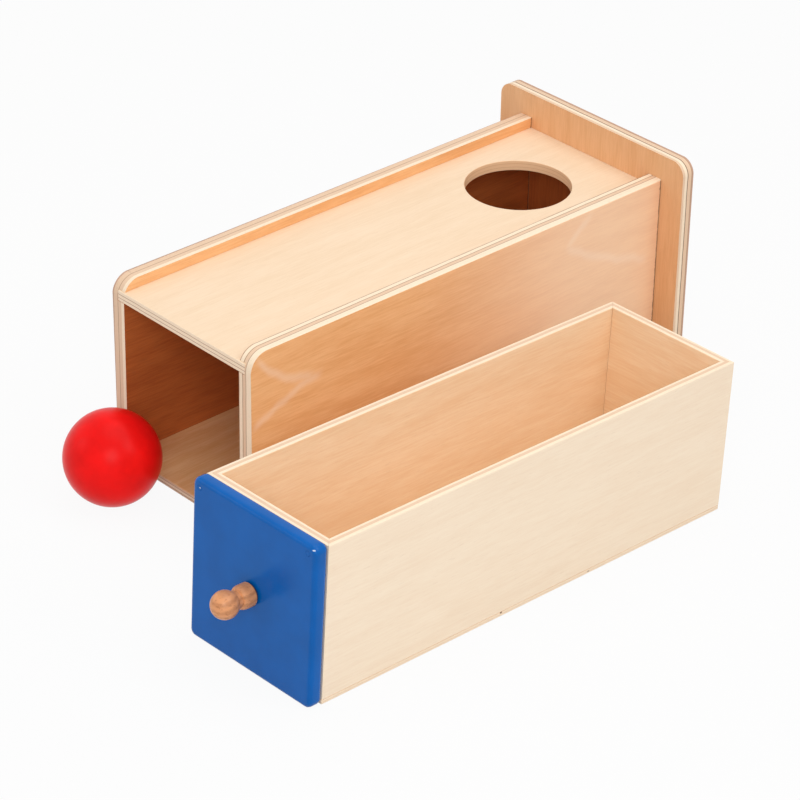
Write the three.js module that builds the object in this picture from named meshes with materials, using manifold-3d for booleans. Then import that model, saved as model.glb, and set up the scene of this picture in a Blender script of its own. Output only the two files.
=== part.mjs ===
// Wooden ball-drop box: a plywood case with a hole in its top, a drawer that catches the ball, and the ball.
// Millimetres, +Z up. The set stands on the plane z = 0 with the middle of its footprint at the origin.
// The drawer lies taken out beside the case, and the ball lies in front of the case's open mouth.

import * as THREE from 'three';
import { mergeVertices } from 'three/addons/utils/BufferGeometryUtils.js';
import Module from 'manifold-3d';

const wasm = await Module();
wasm.setup();

// Ball
const BALL_DIAMETER = 50;

// Case: two sides, a top housed between them, a bottom let into their lower edges
const BAY_WIDTH = 88.4;
const BAY_HEIGHT = 88.5;
const BAY_DEPTH = 285;
const SIDE_THICKNESS = 9;
const TOP_THICKNESS = 6;
const BOTTOM_THICKNESS = 4.5;
const HOUSING_DEPTH = 4.5;
const LIP_HEIGHT = 6;
const LIP_NOSE_RADIUS = 10;
const HOLE_CLEARANCE = 7;
const HOLE_TO_PLATE = 25;

// Back plate: larger than the case all round, so its lower edge props the case's back end up
const PLATE_THICKNESS = 8;
const PLATE_SIDE_OVERHANG = 15.3;
const PLATE_TOP_OVERHANG = 14;
const PLATE_DROP = 12.5;
const PLATE_CORNER_RADIUS = 8;

// Drawer: a mitred tray on a thin sheet, with a painted front plate
const DRAWER_SIDE_CLEARANCE = 2.7;
const DRAWER_HEAD_CLEARANCE = 3.1;
const DRAWER_END_CLEARANCE = 2.5;
const WALL_THICKNESS = 5;
const SHEET_THICKNESS = 2.6;
const FRONT_THICKNESS = 8;
const FRONT_SIDE_OVERHANG = 0.5;
const FRONT_TOP_OVERHANG = 1.5;
const FRONT_CORNER_RADIUS = 4;
const FRONT_EDGE_RADIUS = 2.4;

// Turned knob, from its base on the front plate to its ball head
const KNOB_BASE_DIAMETER = 12;
const KNOB_BASE_LENGTH = 4.8;
const KNOB_BASE_CHAMFER = 0.6;
const KNOB_SHOULDER_LENGTH = 3.4;
const KNOB_NECK_DIAMETER = 8.8;
const KNOB_NECK_LENGTH = 1.9;
const KNOB_HEAD_DIAMETER = 14;

// Knob screw, driven from inside the tray
const SCREW_SHANK_DIAMETER = 3;
const SCREW_HEAD_DIAMETER = 6.4;
const SCREW_HEAD_FLAT = 4.2;
const SCREW_HEAD_HEIGHT = 1.8;
const SCREW_HEAD_SIDE = 0.9;
const SCREW_BITE = 9;
const SCREW_FIT = 0.15;

// Wire brads
const BRAD_SHANK_DIAMETER = 1.4;
const BRAD_HEAD_DIAMETER = 2.6;
const BRAD_HEAD_HEIGHT = 0.7;
const BRAD_POINT_LENGTH = 1.5;
const BRAD_FIT = 0.15;
const PLATE_BRAD_BITE = 17;
const PLATE_BRAD_INSET = 12;
const PLATE_BRADS_PER_SIDE = 3;
const SHEET_BRAD_BITE = 12;
const SHEET_BRAD_INSET = 25;
const SHEET_BRADS_PER_LONG_WALL = 3;
const FRONT_BRAD_SIDE_INSET = 5.2;
const FRONT_BRAD_TOP_INSET = 4.4;
const FRONT_BRAD_COVER = 1.5;

// Gap left for the glue between two boards
const GLUE_LINE = 0.1;

// Places on the floor: the gap from the case's right side to the drawer, how far the tray's front stands
// before the mouth and how far it is turned, and where the ball lies before the mouth
const DRAWER_GAP = 45.3;
const DRAWER_FORWARD = 68.6;
const DRAWER_TURN_DEGREES = 1.05;
const BALL_GAP = 5.2;
const BALL_OFF_CENTRE = -19.7;

// How finely round forms are drawn
const CORNER_SEGMENTS = 8;
const HOLE_SEGMENTS = 96;
const KNOB_SEGMENTS = 32;
const KNOB_ARC_STEPS = 10;
const SHOULDER_STEPS = 5;
const PIN_SEGMENTS = 12;
const BALL_SEGMENTS = 40;
const EDGE_STEPS = 3;
const WELD_DISTANCE = 1e-4;

// Sizes that follow from the driving dimensions
const bayHalf = BAY_WIDTH / 2;
const caseHalf = bayHalf + SIDE_THICKNESS;
const topUnderside = BOTTOM_THICKNESS + BAY_HEIGHT;
const topSurface = topUnderside + TOP_THICKNESS;
const sideHeight = topSurface + LIP_HEIGHT;
const panelEnd = BAY_DEPTH - GLUE_LINE;
const panelHalf = bayHalf + HOUSING_DEPTH - GLUE_LINE;
const holeRadius = (BALL_DIAMETER + HOLE_CLEARANCE) / 2;
const holeCentre = BAY_DEPTH - HOLE_TO_PLATE - holeRadius;
const casePitch = Math.atan(PLATE_DROP / BAY_DEPTH);

const trayWidth = BAY_WIDTH - 2 * DRAWER_SIDE_CLEARANCE;
const trayHalf = trayWidth / 2;
const trayHeight = BAY_HEIGHT - DRAWER_HEAD_CLEARANCE;
const frontPlane = -(FRONT_THICKNESS + GLUE_LINE);
const trayLength = BAY_DEPTH - DRAWER_END_CLEARANCE + frontPlane;
const wallBase = SHEET_THICKNESS + GLUE_LINE;
const frontHalf = trayHalf + FRONT_SIDE_OVERHANG;
const frontTop = trayHeight + FRONT_TOP_OVERHANG;
const knobHeight = frontTop / 2;

const bradRadius = BRAD_SHANK_DIAMETER / 2;
const screwRadius = SCREW_SHANK_DIAMETER / 2;
const ballRadius = BALL_DIAMETER / 2;

// Directions that a drawing on a flat plane is stood up in
const SIDE_ON = new THREE.Matrix4().makeBasis(
  new THREE.Vector3(0, 1, 0),
  new THREE.Vector3(0, 0, 1),
  new THREE.Vector3(1, 0, 0),
);
const FACE_ON = new THREE.Matrix4().makeBasis(
  new THREE.Vector3(1, 0, 0),
  new THREE.Vector3(0, 0, 1),
  new THREE.Vector3(0, -1, 0),
);

// Joins shared corners, drops slivers without area and turns the faces outwards.
function weld(geometry) {
  const bare = geometry.index ? geometry.toNonIndexed() : geometry.clone();
  bare.deleteAttribute('normal');
  bare.deleteAttribute('uv');
  const merged = mergeVertices(bare, WELD_DISTANCE);
  const corner = merged.getAttribute('position');
  const a = new THREE.Vector3();
  const b = new THREE.Vector3();
  const c = new THREE.Vector3();
  const faces = [];
  let volume = 0;
  for (let i = 0; i < merged.index.count; i += 3) {
    const face = [merged.index.getX(i), merged.index.getX(i + 1), merged.index.getX(i + 2)];
    if (new Set(face).size < 3) {
      continue;
    }
    a.fromBufferAttribute(corner, face[0]);
    b.fromBufferAttribute(corner, face[1]);
    c.fromBufferAttribute(corner, face[2]);
    volume += a.dot(b.cross(c));
    faces.push(face);
  }
  merged.setIndex(faces.flatMap((face) => (volume > 0 ? face : face.reverse())));
  return merged;
}

function toManifold(geometry) {
  const closed = weld(geometry);
  return new wasm.Manifold(new wasm.Mesh({
    numProp: 3,
    vertProperties: new Float32Array(closed.getAttribute('position').array),
    triVerts: new Uint32Array(closed.index.array),
  }));
}

// Cuts every cutter out of a board.
function carve(board, cutters) {
  let solid = toManifold(board);
  for (const cutter of cutters) {
    solid = solid.subtract(toManifold(cutter));
  }
  const mesh = solid.getMesh();
  const geometry = new THREE.BufferGeometry();
  geometry.setAttribute('position', new THREE.BufferAttribute(new Float32Array(mesh.vertProperties), 3));
  geometry.setIndex(new THREE.BufferAttribute(new Uint32Array(mesh.triVerts), 1));
  return geometry;
}

// A block between two corners.
function block(low, high) {
  const size = high.map((value, i) => value - low[i]);
  const middle = high.map((value, i) => (value + low[i]) / 2);
  return new THREE.BoxGeometry(...size).translate(...middle);
}

// A rectangle with four equal round corners.
function roundedRectangle(left, bottom, right, top, radius) {
  const outline = new THREE.Shape();
  outline.absarc(right - radius, top - radius, radius, 0, Math.PI / 2);
  outline.absarc(left + radius, top - radius, radius, Math.PI / 2, Math.PI);
  outline.absarc(left + radius, bottom + radius, radius, Math.PI, 1.5 * Math.PI);
  outline.absarc(right - radius, bottom + radius, radius, 1.5 * Math.PI, 2 * Math.PI);
  outline.closePath();
  return outline;
}

function extrude(outline, depth) {
  return new THREE.ExtrudeGeometry(outline, { depth, bevelEnabled: false, curveSegments: CORNER_SEGMENTS });
}

// Evenly spaced places from first to last.
function spread(first, last, count) {
  return Array.from({ length: count }, (_, i) => first + ((last - first) * i) / (count - 1));
}

// A brad whose head is flush with y = 0 and whose point is at y = -length; grow widens it into its own hole.
function bradForm(length, grow = 0) {
  const shank = bradRadius + grow;
  const head = BRAD_HEAD_DIAMETER / 2 + grow;
  const underHead = -BRAD_HEAD_HEIGHT - grow;
  const tip = -length - grow;
  const outline = [
    new THREE.Vector2(0, tip),
    new THREE.Vector2(shank, tip + BRAD_POINT_LENGTH),
    new THREE.Vector2(shank, underHead),
    new THREE.Vector2(head, underHead),
    new THREE.Vector2(head, grow),
    new THREE.Vector2(0, grow),
  ];
  return new THREE.LatheGeometry(outline, PIN_SEGMENTS);
}

// The screw's head lies on y = 0 and its shank runs to y = -reach; grow widens it into its own hole.
function screwForm(reach, grow = 0) {
  const outline = [
    new THREE.Vector2(0, -reach - grow),
    new THREE.Vector2(screwRadius + grow, -reach - grow + screwRadius),
    new THREE.Vector2(screwRadius + grow, 0),
    new THREE.Vector2(SCREW_HEAD_DIAMETER / 2, 0),
    new THREE.Vector2(SCREW_HEAD_DIAMETER / 2, SCREW_HEAD_SIDE),
    new THREE.Vector2(SCREW_HEAD_FLAT / 2, SCREW_HEAD_HEIGHT),
    new THREE.Vector2(0, SCREW_HEAD_HEIGHT),
  ];
  return new THREE.LatheGeometry(outline, PIN_SEGMENTS);
}

function material(color, roughness, metalness = 0) {
  return new THREE.MeshStandardMaterial({ color, roughness, metalness });
}

const paleBirch = () => material(0xf0d6b2, 0.6);
const tanBirch = () => material(0xdca06c, 0.6);
const bluePaint = () => material(0x2d64ac, 0.35);
const redPaint = () => material(0xd4141a, 0.3);
const turnedBeech = () => material(0xcf9461, 0.5);
const steelWire = () => material(0x9a9a98, 0.4, 1);
const paintedSteel = () => material(0x2d64ac, 0.4);

function piece(name, geometry, finish) {
  const mesh = new THREE.Mesh(weld(geometry), finish);
  mesh.name = name;
  return mesh;
}

// Where the plate's brads go: down the middle of each side's back edge
const plateBradPlaces = [];
const plateBradLow = BOTTOM_THICKNESS + PLATE_BRAD_INSET;
const plateBradHigh = topUnderside - PLATE_BRAD_INSET;
for (const x of [-caseHalf + SIDE_THICKNESS / 2, caseHalf - SIDE_THICKNESS / 2]) {
  for (const z of spread(plateBradLow, plateBradHigh, PLATE_BRADS_PER_SIDE)) {
    plateBradPlaces.push([x, z]);
  }
}
const plateBradLength = PLATE_THICKNESS + GLUE_LINE + PLATE_BRAD_BITE;

// The form of one plate brad, or of its hole, with its head in the plate's back face.
function plateBrad([x, z], grow) {
  return bradForm(plateBradLength, grow).translate(x, BAY_DEPTH + PLATE_THICKNESS, z);
}

// Sides: a tall board with a round nose at the mouth, a groove for the top and a rebate for the bottom.
function caseSide(sign) {
  const outline = new THREE.Shape();
  outline.moveTo(0, 0);
  outline.lineTo(panelEnd, 0);
  outline.lineTo(panelEnd, sideHeight);
  outline.absarc(LIP_NOSE_RADIUS, sideHeight - LIP_NOSE_RADIUS, LIP_NOSE_RADIUS, Math.PI / 2, Math.PI);
  outline.closePath();
  const inner = sign * bayHalf;
  const outer = sign * caseHalf;
  const board = extrude(outline, SIDE_THICKNESS)
    .applyMatrix4(SIDE_ON)
    .translate(Math.min(inner, outer), 0, 0);

  const grooveEnds = [sign * (bayHalf - HOUSING_DEPTH), sign * (bayHalf + HOUSING_DEPTH)];
  const left = Math.min(...grooveEnds);
  const right = Math.max(...grooveEnds);
  const past = SIDE_THICKNESS;
  const groove = block(
    [left, -past, topUnderside - GLUE_LINE],
    [right, BAY_DEPTH + past, topSurface + GLUE_LINE],
  );
  const rebate = block([left, -past, -past], [right, BAY_DEPTH + past, BOTTOM_THICKNESS + GLUE_LINE]);
  const bradHoles = plateBradPlaces
    .filter(([x]) => x * sign > 0)
    .map((place) => plateBrad(place, BRAD_FIT));
  return carve(board, [groove, rebate, ...bradHoles]);
}

function caseTopPanel() {
  const board = block([-panelHalf, 0, topUnderside], [panelHalf, panelEnd, topSurface]);
  const drillLength = TOP_THICKNESS + 2 * LIP_HEIGHT;
  const drill = new THREE.CylinderGeometry(holeRadius, holeRadius, drillLength, HOLE_SEGMENTS)
    .rotateX(Math.PI / 2)
    .translate(0, holeCentre, topUnderside + TOP_THICKNESS / 2);
  return carve(board, [drill]);
}

function caseBottomPanel() {
  return block([-panelHalf, 0, 0], [panelHalf, panelEnd, BOTTOM_THICKNESS]);
}

function caseBackPlate() {
  const half = caseHalf + PLATE_SIDE_OVERHANG;
  const top = sideHeight + PLATE_TOP_OVERHANG;
  const outline = roundedRectangle(-half, -PLATE_DROP, half, top, PLATE_CORNER_RADIUS);
  const board = extrude(outline, PLATE_THICKNESS)
    .applyMatrix4(FACE_ON)
    .translate(0, BAY_DEPTH + PLATE_THICKNESS, 0);
  return carve(board, plateBradPlaces.map((place) => plateBrad(place, BRAD_FIT)));
}

function makeCase() {
  const group = new THREE.Group();
  group.add(piece('case_left_side', caseSide(-1), tanBirch()));
  group.add(piece('case_right_side', caseSide(1), tanBirch()));
  group.add(piece('case_top_panel', caseTopPanel(), paleBirch()));
  group.add(piece('case_bottom_panel', caseBottomPanel(), tanBirch()));
  group.add(piece('case_back_plate', caseBackPlate(), tanBirch()));
  plateBradPlaces.forEach((place, i) => {
    group.add(piece(`plate_brad_${i + 1}`, plateBrad(place, 0), steelWire()));
  });
  return group;
}

// Where the sheet's brads go: along the middle of each wall's lower edge
const wallMiddle = WALL_THICKNESS / 2;
const sheetBradPlaces = [];
for (const x of [-trayHalf + wallMiddle, trayHalf - wallMiddle]) {
  for (const y of spread(SHEET_BRAD_INSET, trayLength - SHEET_BRAD_INSET, SHEET_BRADS_PER_LONG_WALL)) {
    sheetBradPlaces.push([x, y]);
  }
}
for (const y of [wallMiddle, trayLength - wallMiddle]) {
  sheetBradPlaces.push([0, y]);
}

// The form of one brad under the sheet, or of its hole, with its point upwards.
function sheetBrad([x, y], grow) {
  return bradForm(wallBase + SHEET_BRAD_BITE, grow).rotateX(-Math.PI / 2).translate(x, y, 0);
}

// Where the front's brads go: one near each upper corner
const frontBradPlaces = [-1, 1].map((sign) => [
  sign * (frontHalf - FRONT_BRAD_SIDE_INSET),
  frontTop - FRONT_BRAD_TOP_INSET,
]);
const frontBradLength = WALL_THICKNESS - FRONT_BRAD_COVER - frontPlane;

// The form of one front brad, or of its hole, with its head in the front's face.
function frontBrad([x, z], grow) {
  return bradForm(frontBradLength, grow).rotateX(Math.PI).translate(x, frontPlane, z);
}

// The knob screw, or its hole, with its head on the front wall's inner face.
function knobScrew(grow) {
  const reach = WALL_THICKNESS - frontPlane + GLUE_LINE + SCREW_BITE;
  return screwForm(reach, grow).translate(0, WALL_THICKNESS, knobHeight);
}

// One mitred wall: its outer face from a to b, and its thickness to the left of that direction.
// Each mitre is drawn back along the wall by half of the glue line's slant width.
function mitredWall(a, b) {
  const along = b.clone().sub(a).normalize();
  const inwards = new THREE.Vector2(-along.y, along.x).multiplyScalar(WALL_THICKNESS);
  const mitre = along.clone().multiplyScalar(WALL_THICKNESS);
  const back = along.clone().multiplyScalar(GLUE_LINE / Math.SQRT2);
  const outline = new THREE.Shape([
    a.clone().add(back),
    b.clone().sub(back),
    b.clone().sub(back).sub(mitre).add(inwards),
    a.clone().add(back).add(mitre).add(inwards),
  ]);
  return extrude(outline, trayHeight - wallBase).translate(0, 0, wallBase);
}

function drawerWall(from, to) {
  const corners = {
    frontLeft: new THREE.Vector2(-trayHalf, 0),
    frontRight: new THREE.Vector2(trayHalf, 0),
    backRight: new THREE.Vector2(trayHalf, trayLength),
    backLeft: new THREE.Vector2(-trayHalf, trayLength),
  };
  const holes = sheetBradPlaces.map((place) => sheetBrad(place, BRAD_FIT));
  holes.push(...frontBradPlaces.map((place) => frontBrad(place, BRAD_FIT)));
  holes.push(knobScrew(SCREW_FIT));
  return carve(mitredWall(corners[from], corners[to]), holes);
}

function drawerSheet() {
  const sheet = block([-trayHalf, 0, 0], [trayHalf, trayLength, SHEET_THICKNESS]);
  return carve(sheet, sheetBradPlaces.map((place) => sheetBrad(place, BRAD_FIT)));
}

// The front plate: every edge of both faces is rounded over.
function drawerFront() {
  const edge = FRONT_EDGE_RADIUS;
  const outline = roundedRectangle(
    -frontHalf + edge,
    edge,
    frontHalf - edge,
    frontTop - edge,
    Math.max(FRONT_CORNER_RADIUS - edge, GLUE_LINE),
  );
  const board = new THREE.ExtrudeGeometry(outline, {
    depth: FRONT_THICKNESS - 2 * edge,
    bevelEnabled: true,
    bevelThickness: edge,
    bevelSize: edge,
    bevelSegments: EDGE_STEPS,
    curveSegments: CORNER_SEGMENTS,
  });
  board.applyMatrix4(FACE_ON).translate(0, -GLUE_LINE - edge, 0);
  const holes = frontBradPlaces.map((place) => frontBrad(place, BRAD_FIT));
  holes.push(knobScrew(SCREW_FIT));
  return carve(board, holes);
}

// The knob turned about its own axis: screw hole, chamfered base, round shoulder, neck and ball head.
function drawerKnob() {
  const base = KNOB_BASE_DIAMETER / 2;
  const neck = KNOB_NECK_DIAMETER / 2;
  const head = KNOB_HEAD_DIAMETER / 2;
  const bore = screwRadius + SCREW_FIT;
  const neckStart = KNOB_BASE_LENGTH + KNOB_SHOULDER_LENGTH;
  const headStart = Math.asin(neck / head);
  const headCentre = neckStart + KNOB_NECK_LENGTH + head * Math.cos(headStart);
  const outline = [
    new THREE.Vector2(0, SCREW_BITE + SCREW_FIT),
    new THREE.Vector2(bore, SCREW_BITE + SCREW_FIT - screwRadius),
    new THREE.Vector2(bore, 0),
    new THREE.Vector2(base - KNOB_BASE_CHAMFER, 0),
    new THREE.Vector2(base, KNOB_BASE_CHAMFER),
  ];
  for (const t of spread(0, 1, SHOULDER_STEPS)) {
    const radius = neck + (base - neck) * Math.sqrt(1 - t * t);
    outline.push(new THREE.Vector2(radius, KNOB_BASE_LENGTH + KNOB_SHOULDER_LENGTH * t));
  }
  for (const angle of spread(headStart, Math.PI, KNOB_ARC_STEPS)) {
    const onAxis = angle === Math.PI;
    outline.push(new THREE.Vector2(onAxis ? 0 : head * Math.sin(angle), headCentre - head * Math.cos(angle)));
  }
  return new THREE.LatheGeometry(outline, KNOB_SEGMENTS)
    .rotateX(Math.PI)
    .translate(0, frontPlane - GLUE_LINE, knobHeight);
}

function makeDrawer() {
  const group = new THREE.Group();
  group.add(piece('drawer_front_wall', drawerWall('frontLeft', 'frontRight'), paleBirch()));
  group.add(piece('drawer_right_wall', drawerWall('frontRight', 'backRight'), paleBirch()));
  group.add(piece('drawer_back_wall', drawerWall('backRight', 'backLeft'), paleBirch()));
  group.add(piece('drawer_left_wall', drawerWall('backLeft', 'frontLeft'), paleBirch()));
  group.add(piece('drawer_bottom', drawerSheet(), paleBirch()));
  group.add(piece('drawer_front', drawerFront(), bluePaint()));
  group.add(piece('drawer_knob', drawerKnob(), turnedBeech()));
  group.add(piece('knob_screw', knobScrew(0), steelWire()));
  frontBradPlaces.forEach((place, i) => {
    group.add(piece(`front_brad_${i + 1}`, frontBrad(place, 0), paintedSteel()));
  });
  sheetBradPlaces.forEach((place, i) => {
    group.add(piece(`bottom_brad_${i + 1}`, sheetBrad(place, 0), steelWire()));
  });
  return group;
}

function makeBall() {
  const sphere = new THREE.SphereGeometry(ballRadius, BALL_SEGMENTS, BALL_SEGMENTS / 2).rotateX(Math.PI / 2);
  return piece('ball', sphere, redPaint());
}

// The case leans on its mouth's lower edge and on the plate's lower edge; the drawer and the ball lie flat.
const caseGroup = makeCase();
caseGroup.rotation.x = casePitch;

const drawerGroup = makeDrawer();
drawerGroup.position.set(caseHalf + DRAWER_GAP + trayHalf, -DRAWER_FORWARD, 0);
drawerGroup.rotation.z = THREE.MathUtils.degToRad(DRAWER_TURN_DEGREES);

const ball = makeBall();
ball.position.set(BALL_OFF_CENTRE, -BALL_GAP - ballRadius, ballRadius);

const ballDropBox = new THREE.Group();
ballDropBox.add(caseGroup, drawerGroup, ball);

// The middle of the footprint is the origin.
const bounds = new THREE.Box3().setFromObject(ballDropBox, true);
const middle = bounds.getCenter(new THREE.Vector3());
ballDropBox.position.set(-middle.x, -middle.y, -bounds.min.z);

export default ballDropBox;
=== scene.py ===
import math
from dataclasses import dataclass

import bmesh
import bpy
from bpy.props import FloatProperty, FloatVectorProperty, IntProperty, PointerProperty
from mathutils import Matrix, Vector
from mathutils.bvhtree import BVHTree


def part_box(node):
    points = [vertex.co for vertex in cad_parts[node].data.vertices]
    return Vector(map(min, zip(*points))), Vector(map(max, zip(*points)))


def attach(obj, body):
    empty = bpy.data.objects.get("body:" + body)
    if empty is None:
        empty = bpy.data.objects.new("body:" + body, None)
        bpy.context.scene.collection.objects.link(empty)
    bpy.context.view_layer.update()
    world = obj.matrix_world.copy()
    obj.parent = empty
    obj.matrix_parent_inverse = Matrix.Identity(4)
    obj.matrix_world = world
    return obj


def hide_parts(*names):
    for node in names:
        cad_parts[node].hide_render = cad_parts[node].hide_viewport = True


bl_info = {
    "name": "Ball-drop box",
    "version": (1, 0, 0),
    "blender": (4, 5, 0),
    "location": "View3D > Sidebar > Ball box",
    "description": "Dresses a wooden ball-drop box, its drawer and its ball, on a studio stage",
    "category": "Object",
}

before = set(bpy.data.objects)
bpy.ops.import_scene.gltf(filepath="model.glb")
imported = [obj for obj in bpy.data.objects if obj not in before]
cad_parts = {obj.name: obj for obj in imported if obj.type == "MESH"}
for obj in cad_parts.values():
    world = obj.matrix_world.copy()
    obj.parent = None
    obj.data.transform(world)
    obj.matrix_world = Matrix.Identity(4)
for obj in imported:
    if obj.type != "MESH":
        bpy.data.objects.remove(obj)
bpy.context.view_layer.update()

MM = 0.001
FULL_TURN = 2 * math.pi
WHITE = (1.0, 1.0, 1.0, 1.0)
SHARP_ANGLE = math.radians(42)
WELD_REACH = 0.002 * MM
GLUE_REACH = 0.25 * MM
SHORTEST_ARRIS = 1.2 * MM

# Lamps by name: place and width in metres. All are aimed at one point.
LAMPS = {
    "top_lamp": ((0.0, 0.1, 1.5), 1.4),
    "front_lamp": ((1.0, -1.05, 0.95), 0.8),
    "right_lamp": ((0.95, 0.25, 1.15), 0.8),
    "left_lamp": ((-0.9, -1.0, 0.6), 0.5),
}
LAMP_AIM = Vector((0.05, -0.05, 0.05))
FLOOR_GREY = (0.68, 0.68, 0.68)
FLOOR_REACH = 6.0
FLOOR_DROP = 0.05 * MM
FILM_WIDTH = 36.0


def shade(code):
    """A colour written as on a paint card, in the linear values that materials take."""
    values = [int(code[i : i + 2], 16) / 255 for i in (1, 3, 5)]
    return tuple(v / 12.92 if v <= 0.04045 else ((v + 0.055) / 1.055) ** 2.4 for v in values)


def opaque(colour):
    return (*colour[:3], 1.0)


def between(share, first, second):
    """A constant colour between two constant colours."""
    return tuple(a + (b - a) * share for a, b in zip(first, second))


def node_points(node):
    return [v.co.copy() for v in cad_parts[node].data.vertices]


def case_axes():
    """The case's own axes: x across, y from the mouth to the back plate, z up from the underside."""
    points = node_points("case_bottom_panel")
    near = min(points, key=lambda p: p.z)
    far = max(points, key=lambda p: p.y)
    low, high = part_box("case_bottom_panel")
    pitch = math.atan2(far.z - near.z, far.y - near.y)
    return Matrix.Translation(((low.x + high.x) / 2, near.y, near.z)) @ Matrix.Rotation(pitch, 4, "X")


def drawer_axes():
    """The drawer's own axes: x across, y from the front wall's face to the back, z up from the floor."""
    points = node_points("drawer_bottom")
    left = min(points, key=lambda p: p.y)
    right = max(points, key=lambda p: p.x)
    turn = math.atan2(right.y - left.y, right.x - left.x)
    middle = (left + right) / 2
    return Matrix.Translation((middle.x, middle.y, 0)) @ Matrix.Rotation(turn, 4, "Z")


CASE = case_axes()
DRAWER = drawer_axes()
AXIS = {
    "+X": Vector((1, 0, 0)),
    "-X": Vector((-1, 0, 0)),
    "+Y": Vector((0, 1, 0)),
    "+Z": Vector((0, 0, 1)),
}


def own_box(node, axes):
    """A node's lowest and highest corner in the axes of its group."""
    back = axes.inverted()
    points = [back @ p for p in node_points(node)]
    low = Vector([min(p[i] for p in points) for i in range(3)])
    high = Vector([max(p[i] for p in points) for i in range(3)])
    return low, high


def board_axes(node, axes, along, across):
    """A board's axes: along the grain, across it, and through it from its back face."""
    low, high = own_box(node, axes)
    u = AXIS[along]
    v = AXIS[across]
    w = u.cross(v)
    corner = Vector()
    for direction in (u, v, w):
        for i in range(3):
            if direction[i] > 0.5:
                corner[i] = low[i]
            elif direction[i] < -0.5:
                corner[i] = high[i]
    turn = Matrix((u, v, w)).transposed().to_4x4()
    return axes @ Matrix.Translation(corner) @ turn


class Wire:
    """A socket in a material; Python's operators on values add Math nodes."""

    def __init__(self, finish, socket):
        self.finish = finish
        self.socket = socket

    def __add__(self, other):
        return self.finish.math("ADD", self, other)

    def __radd__(self, other):
        return self.finish.math("ADD", other, self)

    def __sub__(self, other):
        return self.finish.math("SUBTRACT", self, other)

    def __rsub__(self, other):
        return self.finish.math("SUBTRACT", other, self)

    def __mul__(self, other):
        return self.finish.math("MULTIPLY", self, other)

    def __rmul__(self, other):
        return self.finish.math("MULTIPLY", other, self)

    def __truediv__(self, other):
        return self.finish.math("DIVIDE", self, other)

    def __rtruediv__(self, other):
        return self.finish.math("DIVIDE", other, self)

    def __abs__(self):
        return self.finish.math("ABSOLUTE", self)


class Tree:
    """The nodes of a material or a world, filled from Python expressions."""

    def __init__(self, owner):
        owner.use_nodes = True
        self.tree = owner.node_tree
        self.tree.nodes.clear()

    def feed(self, socket, value):
        if isinstance(value, Wire):
            self.tree.links.new(value.socket, socket)
        else:
            socket.default_value = value

    def node(self, kind, settings=None, inputs=None):
        """Adds a node: its settings are set first, then its sockets are filled or linked."""
        made = self.tree.nodes.new(kind)
        for key, value in (settings or {}).items():
            if key == "stops":
                self.set_stops(made.color_ramp, value)
            else:
                setattr(made, key, value)
        for key, value in (inputs or {}).items():
            self.feed(made.inputs[key], value)
        return made

    def set_stops(self, ramp, stops):
        while len(ramp.elements) > 1:
            ramp.elements.remove(ramp.elements[-1])
        ramp.elements[0].position = stops[0][0]
        ramp.elements[0].color = opaque(stops[0][1])
        for position, colour in stops[1:]:
            ramp.elements.new(position).color = opaque(colour)

    def math(self, operation, *values):
        return self.wire("ShaderNodeMath", 0, {"operation": operation}, dict(enumerate(values)))

    def wire(self, kind, output, settings=None, inputs=None):
        """Adds a node and takes one of its outputs."""
        return Wire(self, self.node(kind, settings, inputs).outputs[output])

    def seen_directly(self):
        """1 where the camera, a mirror or a clear piece looks, and 0 for light on other things."""
        path = self.node("ShaderNodeLightPath")
        kinds = ("Camera", "Glossy", "Transmission")
        camera, glossy, clear = (Wire(self, path.outputs[f"Is {kind} Ray"]) for kind in kinds)
        return self.math("MAXIMUM", self.math("MAXIMUM", camera, glossy), clear)

    def sine(self, value):
        return self.math("SINE", value)

    def smooth(self, value, low, high):
        """0 below low, 1 above high and a soft step between."""
        limits = {"From Min": low, "From Max": high, "To Min": 0.0, "To Max": 1.0}
        soft = {"interpolation_type": "SMOOTHSTEP"}
        return self.wire("ShaderNodeMapRange", "Result", soft, {"Value": value, **limits})

    def mix(self, share, first, second):
        """A colour between two colours."""
        ends = [value if isinstance(value, Wire) else opaque(value) for value in (first, second)]
        inputs = {"Factor": share, 6: ends[0], 7: ends[1]}
        return self.wire("ShaderNodeMix", 2, {"data_type": "RGBA"}, inputs)

    def scaled(self, vector, scale):
        return self.wire("ShaderNodeVectorMath", 0, {"operation": "MULTIPLY"}, {0: vector, 1: scale})

    def moved(self, vector, offset):
        return self.wire("ShaderNodeVectorMath", 0, {"operation": "ADD"}, {0: vector, 1: offset})

    def length(self, vector):
        return self.wire("ShaderNodeVectorMath", "Value", {"operation": "LENGTH"}, {0: vector})

    def split(self, vector):
        made = self.node("ShaderNodeSeparateXYZ", None, {"Vector": vector})
        return [Wire(self, socket) for socket in made.outputs]

    def noise(self, vector, detail=2.0, roughness=0.5):
        """Soft noise with a grain of about 1 in the vector's units, from 0 to 1."""
        inputs = {"Vector": vector, "Scale": 1.0, "Detail": detail, "Roughness": roughness}
        return self.wire("ShaderNodeTexNoise", "Fac", None, inputs)

    def ramp(self, value, stops):
        return self.wire("ShaderNodeValToRGB", "Color", {"stops": stops}, {"Fac": value})


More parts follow.
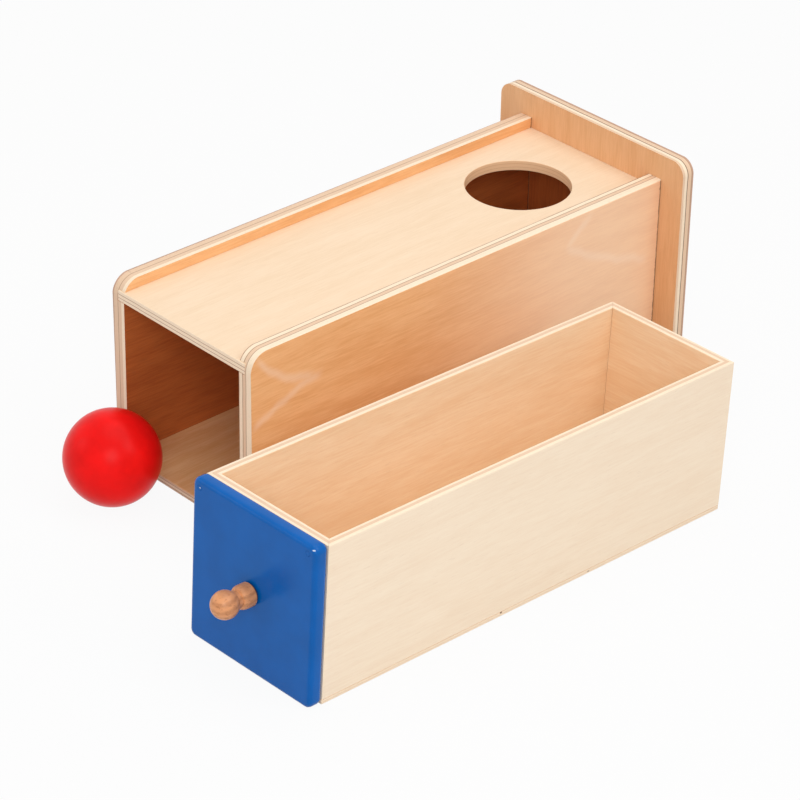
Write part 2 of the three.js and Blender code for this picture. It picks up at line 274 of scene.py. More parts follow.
class Finish(Tree):
    """One material with one main shader."""

    def __init__(self, name):
        self.material = bpy.data.materials.new(name)
        super().__init__(self.material)
        self.shader = self.node("ShaderNodeBsdfPrincipled")
        self.bare = Wire(self, self.shader.outputs["BSDF"])
        self.output = self.node("ShaderNodeOutputMaterial", None, {"Surface": self.bare})
        self.coordinates = self.node("ShaderNodeTexCoord")

    def place(self, axes):
        """Where a point lies in the given axes, in millimetres."""
        back = axes.inverted()
        inputs = {
            "Vector": Wire(self, self.coordinates.outputs["Object"]),
            "Location": back.translation / MM,
            "Rotation": back.to_euler(),
            "Scale": (1 / MM, 1 / MM, 1 / MM),
        }
        return self.wire("ShaderNodeMapping", "Vector", {"vector_type": "POINT"}, inputs)

    def facing(self, axes):
        """How far the surface faces along the axes' third direction, from -1 to 1."""
        direction = axes.to_3x3().col[2].normalized()
        inputs = {0: Wire(self, self.coordinates.outputs["Normal"]), 1: direction}
        return self.wire("ShaderNodeVectorMath", "Value", {"operation": "DOT_PRODUCT"}, inputs)

    def relief(self, height, strength, distance):
        inputs = {"Strength": strength, "Distance": distance, "Height": height}
        self.feed(self.shader.inputs["Normal"], self.wire("ShaderNodeBump", "Normal", None, inputs))

    def surface(self, colour, roughness, specular=0.5, metallic=0.0):
        self.feed(self.shader.inputs["Base Color"], colour)
        self.feed(self.shader.inputs["Roughness"], roughness)
        self.shader.inputs["Specular IOR Level"].default_value = specular
        self.shader.inputs["Metallic"].default_value = metallic
        return self.material


def paint_card(name, description, code):
    """A colour property that starts at a paint card's colour."""
    return FloatVectorProperty(
        name=name, description=description, subtype="COLOR", default=shade(code), min=0, max=1
    )


def rounding(name, description, default):
    """A small length property that starts at the given millimetres."""
    return FloatProperty(
        name=name, description=description, unit="LENGTH", default=default * MM, min=0.0
    )


def lamp_power(name, description, default):
    """A lamp's power in watts."""
    return FloatProperty(name=name, description=description, unit="POWER", default=default, min=0)


class BoxColours(bpy.types.PropertyGroup):
    """Colours of the veneers, the paints and the metal."""

    top_light: paint_card("Top light", "Pale veneer on the case's top", "#F6DCBE")
    top_dark: paint_card("Top dark", "Grain of the top's veneer", "#EFD2B0")
    pale_light: paint_card("Pale light", "Pale veneer on the drawer", "#FBE8CF")
    pale_dark: paint_card("Pale dark", "Grain of the drawer's veneer", "#F6DFC4")
    tan_light: paint_card("Tan light", "Warm veneer on the back plate", "#F0BC8C")
    tan_dark: paint_card("Tan dark", "Grain of the plate's veneer", "#E4AC7A")
    side_light: paint_card("Side light", "Warm veneer on the case's sides", "#F8C18A")
    side_dark: paint_card("Side dark", "Grain of the sides' veneer", "#E9A86D")
    tray_light: paint_card("Tray light", "Veneer inside the drawer", "#FDE2C0")
    tray_dark: paint_card("Tray dark", "Grain inside the drawer", "#F4D0A8")
    # Painted shade: the two Bay colours are darker copies of the case's veneer, for the faces inside the
    # case where shade falls.
    bay_shade_light: paint_card("Bay light", "Veneer inside the case", "#CE763C")
    bay_shade_dark: paint_card("Bay dark", "Grain inside the case", "#B5602F")
    floor_light: paint_card("Bay floor light", "Veneer on the case's floor", "#FCD09A")
    floor_dark: paint_card("Bay floor dark", "Grain on the case's floor", "#EDB67C")
    cream_ply: paint_card("Cream ply", "Edge of a long-grain ply", "#FAE4C8")
    rose_ply: paint_card("Rose ply", "Edge of a cross-grain ply", "#E8C7A8")
    bark_ply: paint_card("Brown ply", "Edge of the outermost ply on the left", "#C69E86")
    glue: paint_card("Glue line", "Line between two plies", "#AF896B")
    gap: paint_card("Open line", "Open joint or a void in a ply", "#6E4A34")
    figure: paint_card("Figure", "Pale lines of the veneer's figure", "#FFE3CB")
    # Painted light: a warmer, brighter tan than the ply edges, standing in for the warm light inside the
    # ball hole.
    bore_painted_light: paint_card("Bore", "Wall of the ball hole", "#FFCB98")
    blue: paint_card("Blue", "Paint on the drawer's front", "#0060B3")
    red: paint_card("Red", "Paint on the ball", "#FB1716")
    knob_light: paint_card("Knob light", "Turned wood", "#E39C69")
    knob_dark: paint_card("Knob dark", "Pores of the turned wood", "#8C5029")
    steel: paint_card("Steel", "Brads and screw", "#B9B9B6")


class BoxSizes(bpy.types.PropertyGroup):
    """Sizes that only the dressed pieces have."""

    case_ease: rounding("Case arris", "Rounding of the case's arrises", 1.2)
    panel_ease: rounding("Panel arris", "Rounding of the top's and bottom's arrises", 0.5)
    plate_ease: rounding("Plate arris", "Rounding of the back plate's arrises", 1.4)
    wall_ease: rounding("Wall arris", "Rounding of the drawer walls' arrises", 0.5)
    sheet_ease: rounding("Sheet arris", "Rounding of the drawer sheet's arrises", 0.35)
    ease_steps: IntProperty(
        name="Arris steps", description="Facets across a rounded arris", default=3, min=1
    )
    knob_base: rounding("Knob base", "Radius of the knob's base", 6.0)
    knob_neck: rounding("Knob neck", "Radius of the knob's neck", 4.4)
    knob_shoulder: rounding("Knob shoulder", "Height where the knob's shoulder starts", 4.8)
    knob_waist: rounding("Knob waist", "Height where the knob's shoulder meets its neck", 8.2)
    knob_sides: IntProperty(name="Knob sides", description="Facets round the knob", default=72, min=12)
    knob_steps: IntProperty(name="Knob steps", description="Steps over the knob's head", default=28, min=4)
    shoulder_steps: IntProperty(
        name="Shoulder steps", description="Steps over the knob's shoulder", default=10, min=2
    )
    ball_cells: IntProperty(
        name="Ball cells", description="Faces along a sixth of the ball", default=28, min=4
    )


class StageSettings(bpy.types.PropertyGroup):
    """Camera, lamps and floor."""

    camera_place: FloatVectorProperty(
        name="Camera place", description="Where the camera stands", subtype="TRANSLATION", unit="LENGTH",
        default=(1.051386, -1.030194, 0.869939),
    )
    camera_azimuth: FloatProperty(
        name="Azimuth", description="Turn of the view", subtype="ANGLE", default=math.radians(45.69)
    )
    camera_elevation: FloatProperty(
        name="Elevation", description="How far the view looks down", subtype="ANGLE",
        default=math.radians(29.18),
    )
    camera_roll: FloatProperty(
        name="Roll", description="Turn of the picture", subtype="ANGLE", default=math.radians(3.24)
    )
    lens: FloatProperty(name="Lens", description="Focal length on a 36 mm frame", default=150.35, min=1)
    top_lamp: lamp_power("Top lamp", "Power of the lamp above", 5.9)
    front_lamp: lamp_power("Front lamp", "Power of the lamp by the camera", 7.3)
    right_lamp: lamp_power("Right lamp", "Power of the lamp at the right", 3.9)
    left_lamp: lamp_power("Left lamp", "Power of the lamp at the left", 0.9)
    room_light: FloatProperty(
        name="Room light", description="Strength of the even light", default=0.6, min=0
    )
    floor_shadow: FloatProperty(
        name="Floor shadow", description="How much of the shadow shows", subtype="FACTOR",
        default=0.07, min=0, max=1,
    )


def colours():
    return bpy.context.scene.ball_box_colours


def sizes():
    return bpy.context.scene.ball_box_sizes


@dataclass
class Board:
    """A plywood board in its own axes: along the grain, across it and through it."""

    node: str
    along: str
    across: str
    layers: tuple
    front: tuple
    back: tuple
    ease: float
    slot: str
    flame: float = 0.1
    # Painted shade: a box on one face, inside the case, takes darker tones where shade falls.
    shaded_face: str = ""
    shade_box: tuple = ()
    inner: tuple = ()
    curves: tuple = ()
    specks: tuple = ()
    # Painted light: from this length along the grain the face is painted lighter towards its far end.
    painted_light_from: float = 0.0
    bore_from: float = 0.0
    joint_at: float = 0.0
    crisp: str = ""


def ply_stops(layers):
    """Ramp stops through a board from its (millimetres, colour) layers."""
    total = sum(thickness for thickness, colour in layers)
    stops = []
    start = 0.0
    for thickness, colour in layers:
        soft = min(0.12, thickness / 3)
        stops.append(((start + soft) / total, tuple(getattr(colours(), colour))))
        stops.append(((start + thickness - soft) / total, tuple(getattr(colours(), colour))))
        start += thickness
    return stops


def veneer(finish, place, tones, seed, flame):
    """A rotary-cut face: soft bands, fine fibres and short pores along the grain."""
    dark, light = tones
    spot = finish.moved(place, (seed * 131.0, seed * 57.0, seed * 23.0))
    broad = finish.noise(finish.scaled(spot, (0.005, 0.018, 0.0)), 2.0, 0.5)
    fibre = finish.noise(finish.scaled(spot, (0.06, 1.0, 1.0)), 4.0, 0.65)
    silk = finish.noise(finish.scaled(spot, (0.02, 0.16, 0.16)), 3.0, 0.55)
    pores = finish.smooth(finish.noise(finish.scaled(spot, (0.18, 2.2, 2.2)), 2.0, 0.5), 0.62, 0.76)
    wave = finish.sine((finish.split(spot)[1] * 0.012 + broad * 3.0) * FULL_TURN)
    share = 0.5 + (fibre - 0.5) * 1.6 + (silk - 0.5) * 1.1 + wave * flame
    face = finish.mix(finish.smooth(share, 0.0, 1.0), dark, light)
    face = finish.mix(pores * 0.3, face, between(0.4, dark, tuple(colours().glue)))
    return face, fibre, pores


def figure_lines(finish, along, across, curves):
    """Pale lines of the figure, each from start to end along the grain on a bent course."""
    wobble = finish.noise(finish.math("MULTIPLY", along, 0.05), 2.0, 0.5)
    lines = 0.0
    for start, end, height, slope, bend, width in curves:
        run = along - start
        off = abs(across + (wobble - 0.5) * 5.0 - (run * run * bend + run * slope + height))
        ends = finish.smooth(run, -2.0, 4.0) * (1 - finish.smooth(along, end - 8.0, end))
        lines = finish.math("MAXIMUM", lines, (1 - finish.smooth(off, 0.0, width)) * ends)
    return lines


def inside_box(finish, along, across, box):
    """1 inside a box on a board's face and 0 outside it."""
    low_along, high_along, low_across, high_across = box
    inside = finish.smooth(along, low_along - 0.2, low_along + 0.2)
    inside = inside * (1 - finish.smooth(along, high_along - 0.2, high_along + 0.2))
    inside = inside * finish.smooth(across, low_across - 0.2, low_across + 0.2)
    return inside * (1 - finish.smooth(across, high_across - 0.2, high_across + 0.2))


def ply_edge(finish, place, board):
    """The plies on a board's edges, with sanding marks and voids, and painted light on the ball hole's
    wall.
    """
    along, _, through = finish.split(place)
    wander = finish.noise(finish.scaled(place, (0.05, 0.05, 0.0)), 3.0, 0.6)
    total = sum(thickness for thickness, colour in board.layers)
    plies = finish.ramp((through + (wander - 0.5) * 0.7) / total, ply_stops(board.layers))
    grit = finish.noise(finish.scaled(place, (0.5, 0.5, 3.0)), 3.0, 0.6)
    plies = finish.mix(finish.smooth(grit, 0.52, 0.8) * 0.3, plies, tuple(colours().glue))
    # Painted light: the ball hole's wall is mixed towards a warm, bright tan over its plies.
    if board.bore_from:
        cut = finish.smooth(along, board.bore_from, board.bore_from + 10.0) * 0.75
        plies = finish.mix(cut, plies, tuple(colours().bore_painted_light))
    for speck_along, speck_through, radius in board.specks:
        offset = finish.moved(place, (-speck_along, 0, -speck_through))
        reach = finish.length(finish.scaled(offset, (0.7 / radius, 0, 1 / radius)))
        plies = finish.mix(1 - finish.smooth(reach, 0.6, 1.1), plies, tuple(colours().gap))
    return plies


def plywood(board, axes, seed):
    """The material of a board: veneers on its faces and plies on its edges, with the painted shade and
    painted light that the board asks for.
    """
    c = colours()
    finish = Finish(f"{board.node}_ply")
    place = finish.place(axes)
    along, across, _ = finish.split(place)
    facing = finish.facing(axes)
    faces = {}
    faces["front"], fibre, pores = veneer(finish, place, board.front, seed, board.flame)
    faces["back"] = veneer(finish, place, board.back, seed + 3, board.flame)[0]
    # Painted light: the front face is mixed towards the pale figure colour towards the far end, lighter
    # where more light falls.
    if board.painted_light_from:
        pale = finish.smooth(along, board.painted_light_from, board.painted_light_from + 150.0) * 0.45
        faces["front"] = finish.mix(pale, faces["front"], tuple(c.figure))
    if board.curves:
        lines = figure_lines(finish, along, across, board.curves)
        faces["front"] = finish.mix(lines * 0.36, faces["front"], tuple(c.figure))
    # Painted shade: inside the box, the face takes darker tones where shade falls inside the case.
    if board.shaded_face:
        painted_shade = veneer(finish, place, board.inner, seed + 5, 0.0)[0]
        inside = inside_box(finish, along, across, board.shade_box)
        faces[board.shaded_face] = finish.mix(inside, faces[board.shaded_face], painted_shade)
    face = finish.mix(finish.smooth(facing, -0.2, 0.2), faces["back"], faces["front"])
    if board.joint_at:
        ragged = finish.noise(finish.scaled(place, (0.0, 0.25, 0.25)), 4.0, 0.7) * 1.6
        joint = finish.smooth(along + ragged, board.joint_at - 0.1, board.joint_at + 0.5)
        face = finish.mix(joint * 0.8, face, tuple(c.gap))
    edge = 1 - finish.smooth(abs(facing), 0.55, 0.85)
    colour = finish.mix(edge, face, ply_edge(finish, place, board))
    finish.relief(fibre * 0.5 - pores * 0.4, 0.1, 0.0002)
    return finish.surface(colour, 0.5 + (fibre - 0.5) * 0.2, 0.3)


# Painted highlights in the blue paint, as pale glint specks: x from the plate's middle, z from its top,
# width and height, in millimetres.
PAINTED_GLINTS = ((-36.6, -4.3, 0.5, 0.3), (40.0, -1.6, 0.7, 0.3))


def blue_paint(name):
    """Satin paint over wood with a fine spray texture, and two painted highlights near the upper corners:
    pale glint specks.
    """
    c = colours()
    finish = Finish(name)
    low, high = own_box("drawer_front", DRAWER)
    axes = DRAWER @ Matrix.Translation((0, low.y, high.z))
    place = finish.place(axes)
    cloud = finish.noise(finish.scaled(place, (0.05, 0.05, 0.05)), 3.0, 0.55)
    spray = finish.noise(finish.scaled(place, (1.6, 1.6, 1.6)), 2.0, 0.5)
    grain = finish.noise(finish.scaled(place, (0.7, 0.7, 0.03)), 3.0, 0.6)
    deep = tuple(v * 0.86 for v in c.blue)
    colour = finish.mix(finish.smooth(cloud, 0.25, 0.75), deep, tuple(c.blue))
    glints = None
    for x, z, width, height in PAINTED_GLINTS:
        reach = finish.length(
            finish.scaled(finish.moved(place, (-x, 0, -z)), (1 / width, 0.12, 1 / height))
        )
        glint = 1 - finish.smooth(reach, 0.7, 1.2)
        glints = glint if glints is None else finish.math("MAXIMUM", glints, glint)
    # Painted highlights: the pale specks are mixed into the paint's colour where a glint would fall.
    colour = finish.mix(glints * 0.85, colour, shade("#DCE6F0"))
    finish.relief(spray * 0.5 + grain * 0.8, 0.06, 0.0003)
    return finish.surface(colour, 0.22 + (cloud - 0.5) * 0.06, 0.16)


def red_paint(name):
    """Satin paint on a turned ball, with a faint grain under it."""
    c = colours()
    finish = Finish(name)
    low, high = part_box("ball")
    axes = Matrix.Translation((low + high) / 2) @ Matrix.Rotation(math.radians(35), 4, "Y")
    place = finish.place(axes)
    cloud = finish.noise(finish.scaled(place, (0.06, 0.06, 0.06)), 3.0, 0.55)
    skin = finish.noise(finish.scaled(place, (0.9, 0.9, 0.14)), 3.0, 0.6)
    deep = tuple(v * 0.8 for v in c.red)
    colour = finish.mix(finish.smooth(cloud, 0.25, 0.75), deep, tuple(c.red))
    finish.relief(skin, 0.05, 0.0004)
    return finish.surface(colour, 0.3 + (cloud - 0.5) * 0.06, 0.09)


def turned_wood(name, axes):
    """Turned beech: growth rings across the axis and short dark pores along it, with a painted contact
    shadow darkening its foot against the plate.
    """
    c = colours()
    finish = Finish(name)
    place = finish.place(axes)
    _, across, through = finish.split(place)
    wobble = finish.noise(finish.scaled(place, (0.15, 0.15, 0.05)), 2.0, 0.5)
    rings = finish.sine((across * 0.3 + through * 0.06 + wobble * 1.2) * FULL_TURN)
    pores = finish.smooth(finish.noise(finish.scaled(place, (0.75, 0.75, 0.3)), 4.0, 0.65), 0.52, 0.66)
    share = 0.6 + rings * 0.3 + (wobble - 0.5) * 0.7
    middle = between(0.6, c.knob_dark, c.knob_light)
    colour = finish.mix(finish.smooth(share, 0.1, 0.9), middle, tuple(c.knob_light))
    colour = finish.mix(pores * 0.35, colour, tuple(c.knob_dark))
    # Painted shade: a near-black contact shadow round the knob's foot where it meets the plate.
    painted_contact_shade = 1 - finish.smooth(through, 0.8, 1.5)
    colour = finish.mix(painted_contact_shade * 0.95, colour, between(0.75, c.gap, (0.0, 0.0, 0.0)))
    finish.relief(1 - pores, 0.1, 0.0002)
    return finish.surface(colour, 0.36 + pores * 0.2, 0.4)


def wire_steel(name):
    """Drawn wire: bright, with fine scratches."""
    finish = Finish(name)
    place = finish.place(Matrix.Identity(4))
    scratch = finish.noise(finish.scaled(place, (3.0, 3.0, 0.8)), 3.0, 0.6)
    bright = tuple(colours().steel)
    colour = finish.mix(scratch, tuple(v * 0.75 for v in bright), bright)
    return finish.surface(colour, 0.3 + scratch * 0.25, 0.5, 1.0)


def piece_from(name, bm, material, body, slot, *nodes):
    """Makes a piece from a mesh in the frame's axes, with flat faces kept flat, and sets it on its body."""
    bm.normal_update()
    for face in bm.faces:
        face.smooth = True
    for edge in bm.edges:
        edge.smooth = edge.calc_face_angle(math.pi) < SHARP_ANGLE
    mesh = bpy.data.meshes.new(name)
    bm.to_mesh(mesh)
    bm.free()
    mesh.materials.append(material)
    made = bpy.data.objects.new(name, mesh)
    bpy.context.scene.collection.objects.link(made)
    normals = made.modifiers.new("flat faces", "WEIGHTED_NORMAL")
    normals.keep_sharp = True
    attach(made, body)
    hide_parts(*nodes)
    return made


WOOD_NODES = (
    "case_left_side",
    "case_right_side",
    "case_top_panel",
    "case_bottom_panel",
    "case_back_plate",
    "drawer_front_wall",
    "drawer_right_wall",
    "drawer_back_wall",
    "drawer_left_wall",
    "drawer_bottom",
    "drawer_front",
)


def solid_of(node):
    """A node's solid as a mesh with its flat faces in one piece."""
    bm = bmesh.new()
    bm.from_mesh(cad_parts[node].data)
    bmesh.ops.remove_doubles(bm, verts=bm.verts, dist=WELD_REACH)
    bmesh.ops.dissolve_limit(bm, angle_limit=math.radians(0.4), verts=bm.verts, edges=bm.edges)
    return bm


def glued_faces(bm, node):
    """Faces that lie against another board."""
    trees = []
    for other in WOOD_NODES:
        if other != node:
            faces = [p.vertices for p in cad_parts[other].data.polygons]
            trees.append(BVHTree.FromPolygons(node_points(other), faces))
    near = set()
    for face in bm.faces:
        centre = face.calc_center_median()
        if any(tree.find_nearest(centre, GLUE_REACH)[0] for tree in trees):
            near.add(face)
    return near


def eased_board(board, axes, steps):
    """A board with its free arrises rounded; those on a glue line or its crisp side stay square."""
    bm = solid_of(board.node)
    glued = glued_faces(bm, board.node)
    if board.crisp:
        inward = axes.to_3x3() @ AXIS[board.crisp]
        glued.update(face for face in bm.faces if face.normal.dot(inward) > 0.9)
    arrises = []
    for edge in bm.edges:
        if len(edge.link_faces) != 2 or not edge.is_convex or edge.calc_length() < SHORTEST_ARRIS:
            continue
        square = math.radians(60) < edge.calc_face_angle() < math.radians(100)
        if square and not glued.intersection(edge.link_faces):
            arrises.append(edge)
    bmesh.ops.bevel(
        bm,
        geom=arrises,
        offset=board.ease,
        offset_type="OFFSET",
        segments=steps,
        profile=0.5,
        affect="EDGES",
        clamp_overlap=False,
    )
    return bm


# Plies of each board from its back face to its front face: millimetres and colour.
RIGHT_PLIES = (
    (0.4, "glue"), (2.2, "cream_ply"), (0.45, "glue"),
    (2.0, "rose_ply"), (0.35, "glue"), (3.6, "cream_ply"),
)
LEFT_PLIES = ((1.0, "bark_ply"), (3.0, "rose_ply"), (0.35, "glue"), (2.4, "rose_ply"), (2.25, "cream_ply"))
TOP_PLIES = ((1.9, "cream_ply"), (0.3, "glue"), (1.7, "cream_ply"), (0.3, "glue"), (1.8, "cream_ply"))
BOTTOM_PLIES = ((1.2, "rose_ply"), (0.3, "glue"), (1.5, "cream_ply"), (0.3, "glue"), (1.2, "rose_ply"))
PLATE_PLIES = (
    (1.6, "rose_ply"), (1.9, "cream_ply"), (0.5, "gap"),
    (2.5, "rose_ply"), (0.4, "glue"), (1.1, "bark_ply"),
)
WALL_PLIES = ((1.6, "cream_ply"), (1.8, "rose_ply"), (1.6, "cream_ply"))
SHEET_PLIES = ((1.1, "cream_ply"), (0.2, "rose_ply"), (1.0, "cream_ply"), (0.3, "rose_ply"))

# Pale lines on the right side, in millimetres: start, end, height at the start, slope, bend and width.
SIDE_FIGURE = (
    (3.6, 44.0, 101.2, -1.148, 0.0152, 4.5),
    (1.0, 48.0, 63.4, 0.52, -0.0036, 4.0),
    (214.7, 236.0, 88.0, 0.786, 0.0, 4.5),
    (214.7, 280.0, 88.0, -0.584, 0.0024, 4.5),
)

# Voids in the edge of the drawer's sheet, in millimetres: along it, through it and radius.
SHEET_VOIDS = ((117.0, 2.1, 0.6), (178.0, 1.2, 0.4))

# The top's edges are taken as the ball hole's wall from here on, in millimetres from the mouth; there the
# plies are painted over with warm painted light.
BORE_FROM = 20.0


def add_boards(boards, axes, body, seed):
    """Adds a group's boards, each with its own veneers."""
    for i, board in enumerate(boards):
        own = board_axes(board.node, axes, board.along, board.across)
        shape = eased_board(board, axes, sizes().ease_steps)
        ply = plywood(board, own, seed + i)
        piece_from(f"{board.node}_board", shape, ply, body, board.slot, board.node)


class BALLBOX_OT_case_boards(bpy.types.Operator):
    """Adds the case's plywood boards with rounded arrises and veneered faces"""

    bl_idname = "ball_box.case_boards"
    bl_label = "Case boards"

    def execute(self, context):
        add_boards((*self.sides(), *self.panels()), CASE, "case", 1)
        return {"FINISHED"}

    def sides(self):
        c = colours()
        ease = sizes().case_ease
        warm = (tuple(c.side_dark), tuple(c.side_light))
        bay_shade = (tuple(c.bay_shade_dark), tuple(c.bay_shade_light))
        length = own_box("case_right_side", CASE)[1].y / MM
        box = (-1.0, length + 1.0, -1.0, own_box("case_top_panel", CASE)[0].z / MM)
        # Both sides take painted shade on their faces inside the case, below the top.
        yield Board(
            "case_left_side", "+Y", "+Z", LEFT_PLIES, warm, warm, ease, "tan_birch",
            shaded_face="front", shade_box=box, inner=bay_shade, joint_at=length, crisp="+X",
        )
        # The right side's outer face is painted lighter towards the back, as painted light.
        yield Board(
            "case_right_side", "+Y", "+Z", RIGHT_PLIES, warm, warm, ease, "tan_birch",
            shaded_face="back", shade_box=box, inner=bay_shade, joint_at=length, crisp="-X",
            curves=SIDE_FIGURE, painted_light_from=80.0,
        )

    def panels(self):
        c = colours()
        s = sizes()
        cream = (tuple(c.top_dark), tuple(c.top_light))
        tan = (tuple(c.tan_dark), tuple(c.tan_light))
        floor = (tuple(c.floor_dark), tuple(c.floor_light))
        bay_shade = (tuple(c.bay_shade_dark), tuple(c.bay_shade_light))
        top = own_box("case_top_panel", CASE)
        plate = own_box("case_back_plate", CASE)
        side = own_box("case_right_side", CASE)[0].x / MM
        middle = -plate[0].x / MM
        under_top = (top[0] - plate[0]).z / MM
        box = (-plate[0].z / MM, under_top, middle - side, middle + side)
        # The top's underside takes the painted shade of the case's inside, and so does the plate's face
        # inside the case.
        yield Board(
            "case_top_panel", "+Y", "-X", TOP_PLIES, cream, bay_shade, s.panel_ease, "pale_birch",
            flame=0.04, bore_from=BORE_FROM,
        )
        yield Board("case_bottom_panel", "+Y", "-X", BOTTOM_PLIES, floor, tan, s.panel_ease, "tan_birch")
        yield Board(
            "case_back_plate", "+Z", "+X", PLATE_PLIES, tan, tan, s.plate_ease, "tan_birch",
            shaded_face="back", shade_box=box, inner=bay_shade,
        )


class BALLBOX_OT_drawer_boards(bpy.types.Operator):
    """Adds the drawer's mitred walls and its sheet"""

    bl_idname = "ball_box.drawer_boards"
    bl_label = "Drawer boards"

    def execute(self, context):
        c = colours()
        s = sizes()
        pale = (tuple(c.pale_dark), tuple(c.pale_light))
        tray = (tuple(c.tray_dark), tuple(c.tray_light))
        walls = (
            ("drawer_front_wall", "+X", pale, tray),
            ("drawer_right_wall", "+Y", pale, tray),
            ("drawer_back_wall", "+X", tray, pale),
            ("drawer_left_wall", "+Y", tray, pale),
        )
        boards = [
            Board(node, along, "+Z", WALL_PLIES, front, back, s.wall_ease, "pale_birch", flame=0.05)
            for node, along, front, back in walls
        ]
        sheet = Board(
            "drawer_bottom", "+Y", "-X", SHEET_PLIES, tray, pale, s.sheet_ease, "pale_birch",
            specks=SHEET_VOIDS,
        )
        add_boards((*boards, sheet), DRAWER, "drawer", 11)
        return {"FINISHED"}


class BALLBOX_OT_drawer_front(bpy.types.Operator):
    """Adds the drawer's blue front plate and the brads painted over with it"""

    bl_idname = "ball_box.drawer_front"
    bl_label = "Drawer front"

    def execute(self, context):
        paint = blue_paint("blue_front_paint")
        shape = solid_of("drawer_front")
        piece_from("drawer_front_plate", shape, paint, "drawer", "blue_paint", "drawer_front")
        for node in ("front_brad_1", "front_brad_2"):
            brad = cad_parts[node]
            brad.data.materials.clear()
            brad.data.materials.append(paint)
        return {"FINISHED"}


def turned(profile, sides, axes):
    """A solid turned about the axes' third direction from (radius, height) points."""
    bm = bmesh.new()
    rings = []
    for radius, height in profile:
        if radius < 1e-9:
            rings.append([bm.verts.new(axes @ Vector((0, 0, height)))])
            continue
        ring = []
        for i in range(sides):
            angle = FULL_TURN * i / sides
            point = Vector((radius * math.cos(angle), radius * math.sin(angle), height))
            ring.append(bm.verts.new(axes @ point))
        rings.append(ring)
    for lower, upper in zip(rings, rings[1:]):
        for i in range(sides):
            j = (i + 1) % sides
            if len(lower) == 1:
                bm.faces.new((lower[0], upper[i], upper[j]))
            elif len(upper) == 1:
                bm.faces.new((lower[i], upper[0], lower[j]))
            else:
                bm.faces.new((lower[i], upper[i], upper[j], lower[j]))
    bmesh.ops.recalc_face_normals(bm, faces=bm.faces)
    return bm


# The rounded foot of the knob: how far each step lies inside its base, and how high, in millimetres.
KNOB_FOOT = ((1.0, 0.0), (0.9, 0.5), (0.3, 0.8), (0.0, 1.2))


def knob_profile():
    """The knob's outline in metres: rounded foot, round shoulder, neck and ball head."""
    s = sizes()
    low, high = own_box("drawer_knob", DRAWER)
    head = (high.x - low.x) / 2
    head_centre = high.y - low.y - head
    points = [(0.0, 0.0)]
    points += [(s.knob_base - inset * MM, height * MM) for inset, height in KNOB_FOOT]
    for i in range(s.shoulder_steps + 1):
        t = i / s.shoulder_steps
        radius = s.knob_neck + (s.knob_base - s.knob_neck) * math.sqrt(1 - t * t)
        points.append((radius, s.knob_shoulder + (s.knob_waist - s.knob_shoulder) * t))
    start = math.asin(s.knob_neck / head)
    for i in range(s.knob_steps):
        angle = start + (math.pi - start) * i / s.knob_steps
        points.append((head * math.sin(angle), head_centre - head * math.cos(angle)))
    points.append((0.0, head_centre + head))
    return points


class BALLBOX_OT_drawer_knob(bpy.types.Operator):
    """Adds the drawer's turned knob"""

    bl_idname = "ball_box.drawer_knob"
    bl_label = "Drawer knob"

    def execute(self, context):
        low, high = own_box("drawer_knob", DRAWER)
        middle = (low + high) / 2
        foot = Matrix.Translation((middle.x, high.y, middle.z))
        axes = DRAWER @ foot @ Matrix.Rotation(math.pi / 2, 4, "X")
        bm = turned(knob_profile(), sizes().knob_sides, axes)
        wood = turned_wood("knob_beech", axes)
        piece_from("turned_knob", bm, wood, "drawer", "turned_beech", "drawer_knob")
        return {"FINISHED"}


class BALLBOX_OT_fixings(bpy.types.Operator):
    """Gives the bare brads and the knob's screw their steel"""

    bl_idname = "ball_box.fixings"
    bl_label = "Brads and screw"

    def execute(self, context):
        steel = wire_steel("wire_steel")
        for node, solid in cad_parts.items():
            if node.startswith(("plate_brad", "bottom_brad", "knob_screw")):
                solid.data.materials.clear()
                solid.data.materials.append(steel)
        return {"FINISHED"}


class BALLBOX_OT_ball(bpy.types.Operator):
    """Adds the painted ball"""

    bl_idname = "ball_box.ball"
    bl_label = "Ball"

    def execute(self, context):
        low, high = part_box("ball")
        centre = (low + high) / 2
        radius = (high.z - low.z) / 2
        bm = bmesh.new()
        bmesh.ops.create_cube(bm, size=2.0)
        bmesh.ops.subdivide_edges(bm, edges=bm.edges, cuts=sizes().ball_cells - 1, use_grid_fill=True)
        for vert in bm.verts:
            spread = Vector([math.tan(v * math.pi / 4) for v in vert.co])
            vert.co = centre + spread.normalized() * radius
        piece_from("painted_ball", bm, red_paint("red_ball_paint"), "ball", "red_paint", "ball")
        return {"FINISHED"}


def add_lamp(name, place, size, power):
    """A round soft lamp that is aimed at the middle of the set."""
    data = bpy.data.lights.new(name, "AREA")
    data.shape = "DISK"
    data.size = size
    data.energy = power
    lamp = bpy.data.objects.new(name, data)
    bpy.context.scene.collection.objects.link(lamp)
    lamp.location = place
    lamp.rotation_euler = (LAMP_AIM - Vector(place)).to_track_quat("-Z", "Y").to_euler()


def floor_finish(shadow):
    """White floor: it takes the shadows in part and looks white elsewhere."""
    finish = Finish("studio_floor")
    finish.surface(opaque(FLOOR_GREY), 0.9, 0.0)
    white = finish.wire("ShaderNodeEmission", "Emission", None, {"Color": WHITE, "Strength": 1.0})
    inputs = {"Fac": finish.seen_directly() * (1 - shadow), 1: finish.bare, 2: white}
    both = finish.wire("ShaderNodeMixShader", "Shader", None, inputs)
    finish.feed(finish.output.inputs["Surface"], both)
    return finish.material


def set_world(strength):
    """Even light from all round that looks white where it is seen."""
    world = bpy.data.worlds.new("studio")
    bpy.context.scene.world = world
    tree = Tree(world)
    even = tree.wire("ShaderNodeBackground", "Background", None, {"Color": WHITE, "Strength": strength})
    white = tree.wire("ShaderNodeBackground", "Background", None, {"Color": WHITE, "Strength": 1.0})
    inputs = {"Fac": tree.seen_directly(), 1: even, 2: white}
    both = tree.wire("ShaderNodeMixShader", "Shader", None, inputs)
    tree.node("ShaderNodeOutputWorld", None, {"Surface": both})


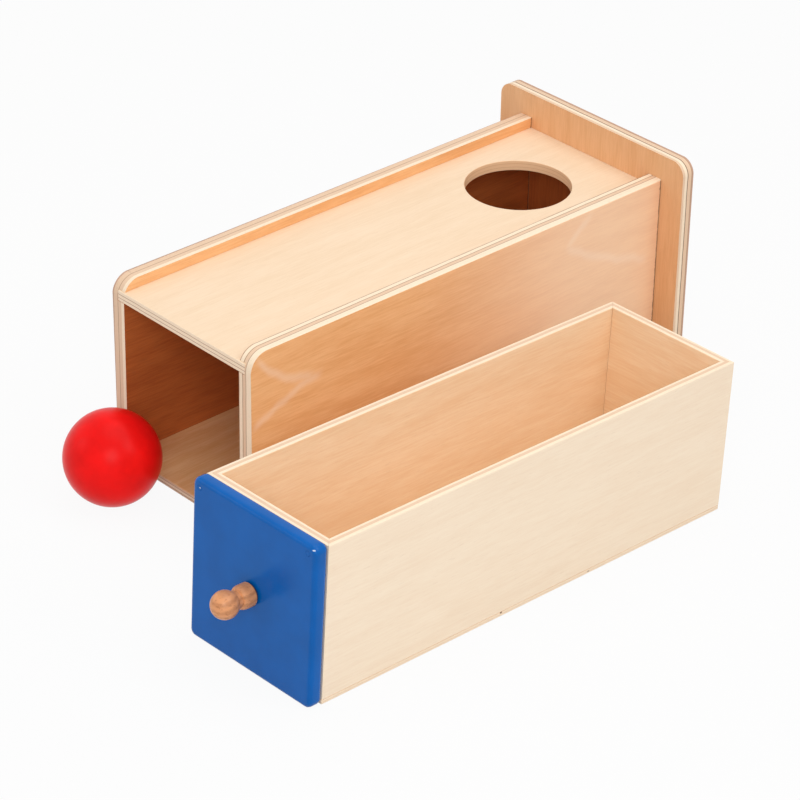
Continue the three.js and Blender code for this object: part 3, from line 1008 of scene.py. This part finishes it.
class BALLBOX_OT_stage(bpy.types.Operator):
    """Sets the floor, the lamps, the even light and the camera"""

    bl_idname = "ball_box.stage"
    bl_label = "Stage"

    def execute(self, context):
        scene = context.scene
        settings = scene.ball_box_stage
        self.add_floor(settings)
        for name, (place, size) in LAMPS.items():
            add_lamp(name, place, size, getattr(settings, name))
        set_world(settings.room_light)
        self.add_camera(scene, settings)
        scene.view_settings.view_transform = "Standard"
        return {"FINISHED"}

    def add_floor(self, settings):
        bm = bmesh.new()
        bmesh.ops.create_grid(bm, x_segments=4, y_segments=4, size=FLOOR_REACH)
        mesh = bpy.data.meshes.new("studio_floor")
        bm.to_mesh(mesh)
        bm.free()
        mesh.materials.append(floor_finish(settings.floor_shadow))
        floor = bpy.data.objects.new("studio_floor", mesh)
        floor.location.z = -FLOOR_DROP
        bpy.context.scene.collection.objects.link(floor)

    def add_camera(self, scene, settings):
        data = bpy.data.cameras.new("camera")
        data.lens = settings.lens
        data.sensor_width = FILM_WIDTH
        data.sensor_fit = "HORIZONTAL"
        data.clip_end = 20.0
        camera = bpy.data.objects.new("camera", data)
        scene.collection.objects.link(camera)
        turn = Matrix.Rotation(settings.camera_azimuth, 4, "Z")
        tilt = Matrix.Rotation(math.pi / 2 - settings.camera_elevation, 4, "X")
        roll = Matrix.Rotation(settings.camera_roll, 4, "Z")
        camera.matrix_world = Matrix.Translation(settings.camera_place) @ turn @ tilt @ roll
        scene.camera = camera


STEPS = (
    BALLBOX_OT_stage,
    BALLBOX_OT_case_boards,
    BALLBOX_OT_drawer_boards,
    BALLBOX_OT_drawer_front,
    BALLBOX_OT_drawer_knob,
    BALLBOX_OT_fixings,
    BALLBOX_OT_ball,
)


class BALLBOX_PT_panel(bpy.types.Panel):
    """Lists the steps and the values that they use"""

    bl_label = "Ball-drop box"
    bl_space_type = "VIEW_3D"
    bl_region_type = "UI"
    bl_category = "Ball box"

    def draw(self, context):
        for step in STEPS:
            self.layout.operator(step.bl_idname)
        scene = context.scene
        for group in (scene.ball_box_sizes, scene.ball_box_colours, scene.ball_box_stage):
            column = self.layout.column()
            for key in group.bl_rna.properties.keys():
                if key not in ("rna_type", "name"):
                    column.prop(group, key)


CLASSES = (BoxColours, BoxSizes, StageSettings, *STEPS, BALLBOX_PT_panel)


def register():
    for item in CLASSES:
        bpy.utils.register_class(item)
    bpy.types.Scene.ball_box_colours = PointerProperty(type=BoxColours)
    bpy.types.Scene.ball_box_sizes = PointerProperty(type=BoxSizes)
    bpy.types.Scene.ball_box_stage = PointerProperty(type=StageSettings)


def unregister():
    del bpy.types.Scene.ball_box_stage
    del bpy.types.Scene.ball_box_sizes
    del bpy.types.Scene.ball_box_colours
    for item in reversed(CLASSES):
        bpy.utils.unregister_class(item)


def main():
    register()
    bpy.ops.ball_box.stage()
    bpy.ops.ball_box.case_boards()
    bpy.ops.ball_box.drawer_boards()
    bpy.ops.ball_box.drawer_front()
    bpy.ops.ball_box.drawer_knob()
    bpy.ops.ball_box.fixings()
    bpy.ops.ball_box.ball()


if __name__ == "__main__":
    main()
